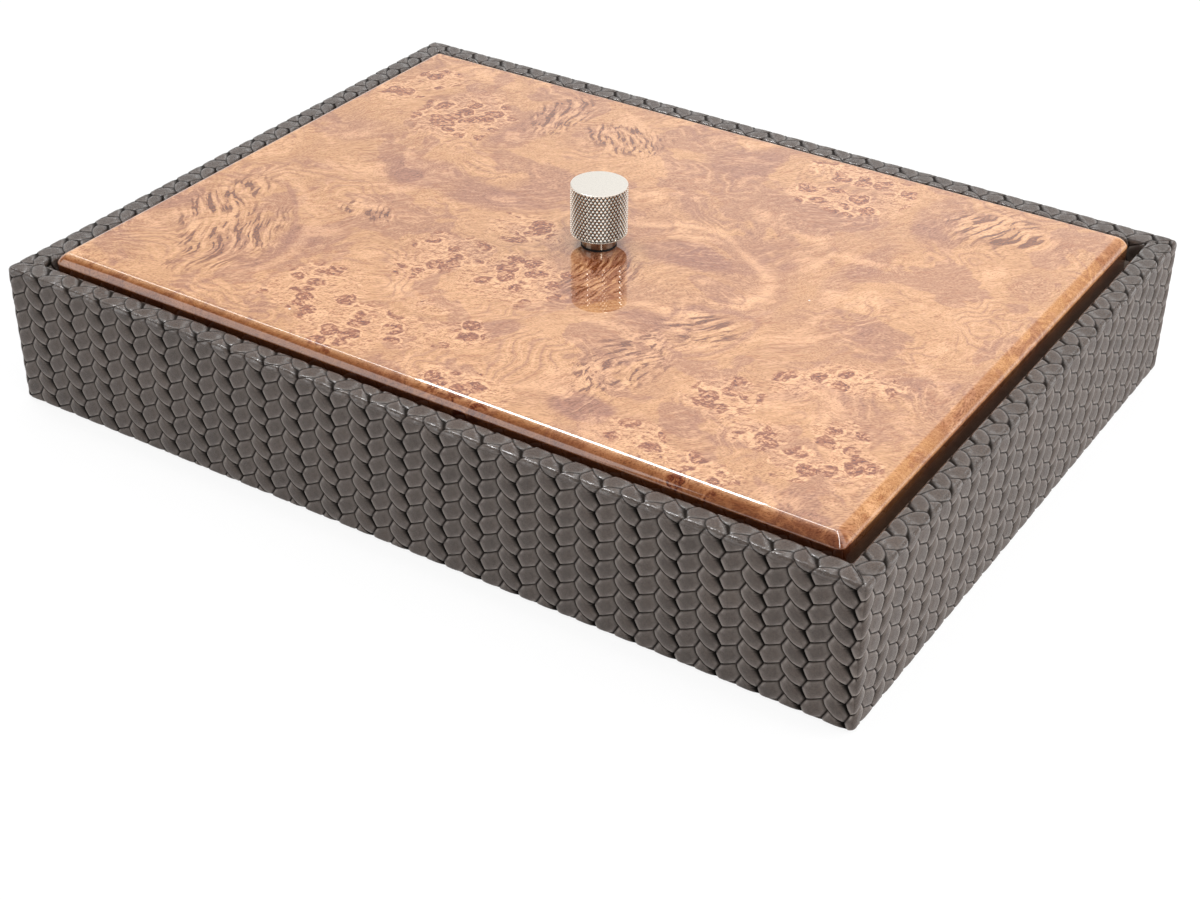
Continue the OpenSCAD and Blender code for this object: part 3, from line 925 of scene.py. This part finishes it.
def flat_plait(side, wrap, rng):
    """The plait over one side and a little more, laid flat: points (u, t, height), marks and triangles."""
    first = math.floor((wrap.starts[side] - SPARE - CORNER_CELL) / wrap.column)
    last = math.ceil((wrap.starts[side] + 2 * wrap.half[side] + SPARE - CORNER_CELL) / wrap.column)
    points, marks, triangles, count = [], [], [], 0
    for number in range(first, last + 1):
        slope = 1 if number % 2 == 0 else -1
        offset = ROW_START + (0 if slope > 0 else ROW / 2) - 4 * ROW
        rows = np.arange(offset, wrap.t_plain + 2 * ROW, ROW)
        middles = np.stack([np.full_like(rows, CORNER_CELL + number * wrap.column), rows], 1)
        height = rows + row_skew(middles[:, 0], wrap)
        seen = (height > wrap.t_turn - 0.7 * ROW) & (height < wrap.t_down + 0.7 * ROW)
        for cells, rings in ((middles[seen], RINGS), (middles[~seen], PLAIN_RINGS)):
            places, heights, grooves, edges = cell_points(slope, cells, wrap, rings)
            tones = np.repeat(rng.random(len(cells))[:, None], heights.shape[1], 1)
            points.append(np.concatenate([places, heights[..., None]], 2).reshape(-1, 3))
            marks.append(np.stack([grooves, edges, tones], 2).reshape(-1, 3))
            starts = count + heights.shape[1] * np.arange(len(cells))
            triangles.append((np.array(cell_triangles(rings))[None] + starts[:, None, None]).reshape(-1, 3))
            count += heights.size
    points, marks, triangles = weld(*(np.concatenate(parts) for parts in (points, marks, triangles)))
    points[:, 1] += row_skew(points[:, 0], wrap)
    points[:, 2] = np.maximum(points[:, 2], -DEEPEST) * relief_left(points[:, 0], points[:, 1], wrap)
    u, t = points[:, 0].copy(), points[:, 1].copy()
    points[:, 0] += 0.12 * np.sin(t / 9.1 + 1.3) + 0.10 * np.sin(u / 23.0)
    points[:, 1] += 0.14 * np.sin(u / 13.7) + 0.08 * np.sin(u / 5.9 + t / 7.7)
    return points, marks, triangles


def flat_sheet(side, wrap, height):
    """A plain sheet, laid flat."""
    start, end = wrap.starts[side] - SPARE, wrap.starts[side] + 2 * wrap.half[side] + SPARE
    low, high = wrap.t_low - SPARE, wrap.t_end + SPARE
    points = np.array([(start, low, height), (end, low, height), (end, high, height), (start, high, height)])
    return points, np.tile((0.0, 0.0, 0.5), (4, 1)), np.array([(0, 1, 2), (0, 2, 3)])


def weld(points, marks, triangles):
    """Joins points that lie on each other in the flat. The first of them gives its height and marks."""
    keys = np.floor(points[:, :2] * 1e4 + 0.31).astype(np.int64)
    _, first, same = np.unique(keys, axis=0, return_index=True, return_inverse=True)
    return points[first], marks[first], same.reshape(-1)[triangles]


def split(points, marks, triangles, distance):
    """Splits triangles where distance passes through 0, which it is linear between points."""
    side = np.where(np.abs(distance) < ON_CUT, 0, np.sign(distance)).astype(int)
    corner = side[triangles]
    crossing = (corner.min(1) < 0) & (corner.max(1) > 0)
    cutting, corner = triangles[crossing], corner[crossing]
    touching = (corner == 0).any(1)
    alone = np.where(touching, (corner == 0).argmax(1), (corner == -corner.sum(1)[:, None]).argmax(1))
    turned = cutting[np.arange(len(cutting))[:, None], (alone[:, None] + np.arange(3)) % 3]
    through, beside = turned[touching], turned[~touching]
    pairs = np.concatenate([through[:, [1, 2]], beside[:, [0, 1]], beside[:, [0, 2]]])
    edges, which = np.unique(np.sort(pairs, 1), axis=0, return_inverse=True)
    a, b = edges[:, 0], edges[:, 1]
    part = (distance[a] / (distance[a] - distance[b]))[:, None]
    new = len(points) + which.reshape(-1)
    points = np.concatenate([points, points[a] * (1 - part) + points[b] * part])
    marks = np.concatenate([marks, marks[a] * (1 - part) + marks[b] * part])
    distance = np.concatenate([distance, np.zeros(len(edges))])
    middle, first, second = np.split(new, [len(through), len(through) + len(beside)])
    columns = [(through[:, 0], through[:, 1], middle), (through[:, 0], middle, through[:, 2]),
               (beside[:, 0], first, second), (first, beside[:, 1], beside[:, 2]),
               (first, beside[:, 2], second)]
    made = [np.stack(column, 1) for column in columns]
    return points, marks, np.concatenate([triangles[~crossing]] + made), distance


def keep_below(points, marks, triangles, distance):
    """Cuts away what lies where distance is above 0."""
    points, marks, triangles, distance = split(points, marks, triangles, distance)
    triangles = triangles[distance[triangles].mean(1) < 0]
    used, renamed = np.unique(triangles, return_inverse=True)
    return points[used], marks[used], renamed.reshape(-1, 3)


def wrap_sheet(side, wrap, sheet, low, high):
    """Trims a flat sheet to t from low to high, splits it along its bends, folds it round the wall and mitres
    its two ends. The marks gain the flat place (u, t)."""
    start, end = wrap.starts[side], wrap.starts[side] + 2 * wrap.half[side]
    sheet = keep_below(*sheet, start - 5 - sheet[0][:, 0])
    sheet = keep_below(*sheet, sheet[0][:, 0] - end - 5)
    sheet = keep_below(*sheet, low - sheet[0][:, 1])
    sheet = keep_below(*sheet, sheet[0][:, 1] - high)
    bends = ((1, wrap.t_turn, wrap.t_wall, 3), (1, wrap.t_top, wrap.t_rim, 4), (1, wrap.t_in, wrap.t_down, 3),
             (0, start - 2.0, start + 2.0, 4), (0, end - 2.0, end + 2.0, 4))
    for axis, first, last, steps in bends:
        for place in np.linspace(first, last, steps + 1):
            sheet = split(*sheet, sheet[0][:, axis] - place)[:3]
    points, marks, triangles = sheet
    marks = np.concatenate([marks, points[:, :2]], 1)
    points = wrap.wrap(side, *points.T)
    for sign in (-1, 1):
        points, marks, triangles = keep_below(points, marks, triangles, past_mitre(side, wrap, points, sign))
    return points, marks, triangles


def past_mitre(side, wrap, points, sign):
    return sign * points[:, 0] + points[:, 1] - wrap.side_length(side) / 2


def zip_up(first, second, along):
    """Triangles between two rows of points that run the same way."""
    triangles = []
    i = j = 0
    while i < len(first) - 1 or j < len(second) - 1:
        if j == len(second) - 1 or (i < len(first) - 1 and along[first[i + 1]] <= along[second[j + 1]]):
            triangles.append((first[i], first[i + 1], second[j]))
            i += 1
        else:
            triangles.append((first[i], second[j + 1], second[j]))
            j += 1
    return triangles


def leather_mesh(side, wrap):
    """A side's leather as one closed mesh: its plaited face, plain inside, back and the borders between."""
    rng = np.random.default_rng(41 + side)
    face = wrap_sheet(side, wrap, flat_plait(side, wrap, rng), wrap.t_low, wrap.t_plain)
    inside = wrap_sheet(side, wrap, flat_sheet(side, wrap, 0), wrap.t_plain, wrap.t_end)
    back = wrap_sheet(side, wrap, flat_sheet(side, wrap, -LEATHER_T), wrap.t_low, wrap.t_end)
    points, marks = (np.concatenate([sheet[i] for sheet in (face, inside, back)]) for i in (0, 1))
    starts = (0, len(face[0]), len(face[0]) + len(inside[0]))
    triangles = [tuple(t + start) for sheet, start in zip((face, inside, back), starts) for t in sheet[2]]
    sheet_of = np.searchsorted(starts, np.arange(len(points)), side="right") - 1
    u, t = marks[:, 3], marks[:, 4]
    borders = ((t - wrap.t_low, u, (0,), (2,)), (t - wrap.t_plain, u, (0,), (1,)),
               (t - wrap.t_end, u, (1,), (2,)),
               (past_mitre(side, wrap, points, -1), t, (0, 1), (2,)),
               (past_mitre(side, wrap, points, 1), t, (0, 1), (2,)))
    for distance, along, first, second in borders:
        border = np.flatnonzero(np.abs(distance) < ON_CUT)
        border = border[np.argsort(along[border], kind="stable")]
        rows = [border[np.isin(sheet_of[border], sheets)] for sheets in (first, second)]
        triangles += zip_up(*rows, along)
    mesh = bpy.data.meshes.new("plait_" + SIDE_NAMES[side])
    mesh.from_pydata((points * MM).tolist(), [], [[int(i) for i in t] for t in triangles])
    for name, values in zip(PLAIT_MARKS, marks.T):
        mesh.attributes.new(name, "FLOAT", "POINT").data.foreach_set("value", values.astype(np.float32))
    bm = bmesh.new()
    bm.from_mesh(mesh)
    bmesh.ops.dissolve_degenerate(bm, edges=bm.edges, dist=1e-7)
    bmesh.ops.holes_fill(bm, edges=[e for e in bm.edges if e.is_boundary], sides=8)
    bmesh.ops.recalc_face_normals(bm, faces=bm.faces)
    place_side(bm, side, wrap)
    bm.to_mesh(mesh)
    bm.free()
    mesh.shade_smooth()
    return mesh


def place_side(bm, side, wrap):
    """Turns (along, inwards, up) into the box's own frame."""
    reach = wrap.side_length(side + 1) / 2 * MM
    turn = Matrix.Rotation(side * math.pi / 2, 4, "Z") @ Matrix.Translation((0, -reach, 0))
    bmesh.ops.transform(bm, matrix=turn, verts=bm.verts)


def add_piece(name, mesh, material, body, slot, *nodes):
    """A piece of the object: shown, carried by its body and standing for its nodes."""
    piece = add_object(name, mesh)
    mesh.materials.clear()
    mesh.materials.append(material)
    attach(piece, body)
    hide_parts(*nodes)


def make_leather(material):
    wrap = Wrap()
    for side, name in enumerate(SIDE_NAMES):
        add_piece("plait_" + name, leather_mesh(side, wrap), material, "box", "leather", "leather_" + name)


# ---------------------------------------------------------------- the lacquered lid

BEVEL_W = 4.4
BEVEL_H = 3.7
BEVEL_TILT = (16.0, 64.0)
BEVEL_STEPS = 24
LID_CORNER_R = 3.0
# How fast the corners' rounding shrinks on the way up the bevel, and where it stops
CORNER_SHRINK = 0.55
LEAST_CORNER_R = 0.5
LEAF_T = 0.6
ARRIS = 0.18
CORNER_STEPS = 12
BORE_R = 2.25
LID_SHARP = math.radians(20)


def bevel_profile():
    """(inset, drop) from the top's edge out over the convex bevel, with a small round at both arrises."""
    first, last = (math.radians(tilt) for tilt in BEVEL_TILT)
    points = []
    for step in range(BEVEL_STEPS + 1):
        tilt = first + (last - first) * step / BEVEL_STEPS
        out = BEVEL_W * (math.sin(tilt) - math.sin(first)) / (math.sin(last) - math.sin(first))
        drop = BEVEL_H * (math.cos(first) - math.cos(tilt)) / (math.cos(first) - math.cos(last))
        points.append((BEVEL_W - out, drop))
    top = [(BEVEL_W + ARRIS, 0.0), (BEVEL_W + ARRIS * 0.45, ARRIS * 0.04)]
    side = [(ARRIS * 0.02, BEVEL_H + ARRIS * 0.35), (0.0, BEVEL_H + ARRIS)]
    points[0] = (BEVEL_W - ARRIS * 0.2, ARRIS * 0.13)
    points[-1] = (ARRIS * 0.16, BEVEL_H - ARRIS * 0.1)
    return top + points + side


def round_outline(half_w, half_d, radius):
    """Points of a rectangle with round corners, anticlockwise, the same number whatever the radius."""
    points = []
    for quarter in range(4):
        sx, sy = (1, 1, -1, -1)[quarter], (-1, 1, 1, -1)[quarter]
        for step in range(CORNER_STEPS + 1):
            angle = (quarter - 1) * math.pi / 2 + step / CORNER_STEPS * math.pi / 2
            points.append((sx * (half_w - radius) + radius * math.cos(angle),
                           sy * (half_d - radius) + radius * math.sin(angle)))
    return points


def lid_mesh():
    """The lid's leaf as rings joined up: from the bore out over the top and the bevel, and back below."""
    low, high = millimetres("lid_veneer")
    middle, half = (low + high) / 2, (high - low) / 2
    rings = []

    def ring(inset, z):
        radius = max(LID_CORNER_R - CORNER_SHRINK * inset, LEAST_CORNER_R)
        outline = round_outline(half[0] - inset, half[1] - inset, radius)
        rings.append([(middle[0] + x, middle[1] + y, z) for x, y in outline])

    def bore(z):
        outline = round_outline(half[0] - BEVEL_W, half[1] - BEVEL_W, LEAST_CORNER_R)
        spread = [Vector((x, y)).normalized() * BORE_R for x, y in outline]
        rings.append([(middle[0] + p.x, middle[1] + p.y, z) for p in spread])

    bore(high[2] - LEAF_T)
    bore(high[2])
    for inset, drop in bevel_profile():
        ring(inset, high[2] - drop)
    ring(0, low[2])
    ring(LEAF_T, low[2])
    ring(LEAF_T, high[2] - BEVEL_H - ARRIS)
    ring(BEVEL_W + ARRIS, high[2] - LEAF_T)
    count = len(rings[0])
    faces = []
    for a in range(len(rings)):
        b = (a + 1) % len(rings)
        faces += [(a * count + i, b * count + i, b * count + j, a * count + j)
                  for i, j in ((i, (i + 1) % count) for i in range(count))]
    mesh = bpy.data.meshes.new("burl_lid")
    mesh.from_pydata([tuple(c * MM for c in p) for r in rings for p in r], [], faces)
    mesh.validate()
    bm = bmesh.new()
    bm.from_mesh(mesh)
    bmesh.ops.recalc_face_normals(bm, faces=bm.faces)
    bm.to_mesh(mesh)
    bm.free()
    mesh.shade_smooth()
    mesh.set_sharp_from_angle(angle=LID_SHARP)
    return mesh


def cut(bm, place, direction):
    """Cuts away what lies past a plane, on the side that direction points to."""
    geometry = bm.verts[:] + bm.edges[:] + bm.faces[:]
    bmesh.ops.bisect_plane(bm, geom=geometry, plane_co=place, plane_no=direction, dist=1e-6, clear_outer=True)


# ---------------------------------------------------------------- the knurled knob

KNURLS_ROUND = 44
KNURL_H = 2.2
KNURL_DEPTH = 0.42
KNURL_FLAT = 0.16
CAP_BAND = 0.45
CAP_CHAMFER = 0.28
NECK_D = 12.2
NECK_H = 4.3
THREAD_D = 4.1
THREAD_DEEP = 15.0
KNOB_SHARP = math.radians(22)
# How far in and up the plain bands start from the knurl, and how far in they lie
BAND_FOOT = (0.06, 0.08)
BAND_IN = 0.04
# The round between the neck and the cap, and the one at the neck's foot
FILLET = 0.25
FOOT_CHAMFER = 0.15


def knurl_shell(bm, radius, low, high):
    """Diamonds with small flat tops round a cylinder, cut off square at low and high."""
    turn = 2 * math.pi / KNURLS_ROUND
    half_rows = int((high - low) / (KNURL_H / 2)) + 3
    top, bottom = radius, radius - KNURL_DEPTH

    def vert(angle, z, r):
        return bm.verts.new((r * math.cos(angle), r * math.sin(angle), z))

    for row in range(half_rows):
        z = low + (row - 0.5) * KNURL_H / 2
        for number in range(KNURLS_ROUND):
            angle = (number + 0.5 * (row % 2)) * turn
            arms = ((turn / 2, 0), (0, KNURL_H / 2), (-turn / 2, 0), (0, -KNURL_H / 2))
            outer = [vert(angle + a, z + b, bottom) for a, b in arms]
            inner = [vert(angle + a * KNURL_FLAT, z + b * KNURL_FLAT, top) for a, b in arms]
            bm.faces.new(inner)
            for i in range(4):
                bm.faces.new((outer[i], outer[(i + 1) % 4], inner[(i + 1) % 4], inner[i]))
    bmesh.ops.remove_doubles(bm, verts=bm.verts, dist=0.005)
    cut(bm, (0, 0, low), (0, 0, -1))
    cut(bm, (0, 0, high), (0, 0, 1))


def grow_loop(bm, edges, radius, z):
    """Extrudes a loop of edges to a circle of that radius at z, and returns the new loop."""
    made = bmesh.ops.extrude_edge_only(bm, edges=edges)["geom"]
    for vert in (g for g in made if isinstance(g, bmesh.types.BMVert)):
        flat = Vector((vert.co.x, vert.co.y)).normalized() * radius
        vert.co = (flat.x, flat.y, z)
    return [g for g in made if isinstance(g, bmesh.types.BMEdge)]


def knob_mesh():
    """The knurl, grown above into the cap's face and below into the neck and the threaded hole."""
    low, high = millimetres("knob")
    middle = (low + high) / 2
    radius = (high[0] - low[0]) / 2
    cap_low, cap_high = NECK_H, high[2] - low[2]
    bm = bmesh.new()
    knurl_shell(bm, radius, cap_low + CAP_BAND, cap_high - CAP_BAND)
    upper = [e for e in bm.edges if e.is_boundary and e.verts[0].co.z > (cap_low + cap_high) / 2]
    lower = [e for e in bm.edges if e.is_boundary and e.verts[0].co.z < (cap_low + cap_high) / 2]
    neck, thread, (foot_in, foot_up) = NECK_D / 2, THREAD_D / 2, BAND_FOOT
    for r, z in ((radius - foot_in, cap_high - CAP_BAND + foot_up), (radius - BAND_IN, cap_high - CAP_CHAMFER),
                 (radius - CAP_CHAMFER * 0.35, cap_high - CAP_CHAMFER * 0.3),
                 (radius - CAP_CHAMFER, cap_high), (radius - 0.8, cap_high), (0.4, cap_high)):
        upper = grow_loop(bm, upper, r, z)
    for r, z in ((radius - foot_in, cap_low + CAP_BAND - foot_up), (radius - BAND_IN, cap_low + CAP_CHAMFER),
                 (radius - CAP_CHAMFER, cap_low), (neck + FILLET, cap_low), (neck, cap_low - FILLET),
                 (neck, FOOT_CHAMFER), (neck - FOOT_CHAMFER, 0), (thread, 0), (thread, THREAD_DEEP)):
        lower = grow_loop(bm, lower, r, z)
    for loop in (upper, lower):
        bmesh.ops.triangle_fill(bm, use_beauty=True, edges=loop)
    bmesh.ops.recalc_face_normals(bm, faces=bm.faces)
    shift = Matrix.Translation((middle[0], middle[1], low[2]))
    bmesh.ops.transform(bm, matrix=Matrix.Scale(MM, 4) @ shift, verts=bm.verts)
    mesh = bpy.data.meshes.new("knurled_knob")
    bm.to_mesh(mesh)
    bm.free()
    mesh.shade_smooth()
    mesh.set_sharp_from_angle(angle=KNOB_SHARP)
    return mesh


# ---------------------------------------------------------------- soft sheets and the carried-over nodes


SOFT_EDGE = math.radians(40)
ROUND_SEGMENTS = 3
LINING_R = 0.25
FELT_R = 0.4


def soft_piece(name, node, material, body, slot, round_r):
    """A sheet of felt or lining in its node's place, with its edges rounded."""
    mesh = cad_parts[node].data.copy()
    bm = bmesh.new()
    bm.from_mesh(mesh)
    bmesh.ops.remove_doubles(bm, verts=bm.verts, dist=0.01 * MM)
    bmesh.ops.dissolve_limit(bm, angle_limit=math.radians(1), verts=bm.verts, edges=bm.edges)
    sharp = [e for e in bm.edges if e.is_manifold and e.calc_face_angle(0) > SOFT_EDGE]
    bmesh.ops.bevel(bm, geom=sharp, offset=round_r * MM, segments=ROUND_SEGMENTS, profile=0.5, affect="EDGES",
                    clamp_overlap=True)
    bm.to_mesh(mesh)
    bm.free()
    mesh.shade_smooth()
    add_piece(name, mesh, material, body, slot, node)


def repaint(material, *names):
    """Gives nodes that keep their CAD shape a material."""
    for name in names:
        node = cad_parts[name]
        node.data.materials.clear()
        node.data.materials.append(material)


def main():
    make_camera()
    make_world()
    make_floor()
    for lamp in LAMPS:
        make_lamp(*lamp)
    make_leather(leather_material())
    add_piece("burl_lid", lid_mesh(), burl_material(), "lid", "burl", "lid_veneer")
    add_piece("knurled_knob", knob_mesh(), metal_material(), "lid", "knob_metal", "knob")
    lining = cloth_material()
    for side in SIDE_NAMES:
        soft_piece("soft_lining_" + side, "lining_" + side, lining, "box", "lining", LINING_R)
    soft_piece("soft_floor", "floor_lining", lining, "box", "lining", LINING_R)
    soft_piece("soft_lid_lining", "lid_lining", lining, "lid", "lining", LINING_R)
    soft_piece("soft_felt", "base_felt", felt_material(), "box", "felt", FELT_R)
    boards = [name for side in SIDE_NAMES for name in (side + "_board", "liner_" + side)]
    repaint(board_material(), "base_board", "lid_core", *boards)
    repaint(dowel_material(), "corner_dowels")
    repaint(card_material(), "floor_card", "lid_card")
    repaint(rubber_material(), "knob_gasket")
    repaint(steel_material(), "knob_screw", "knob_washer")


main()
bpy.context.view_layer.update()
bpy.context.scene.view_settings.view_transform = "Standard"
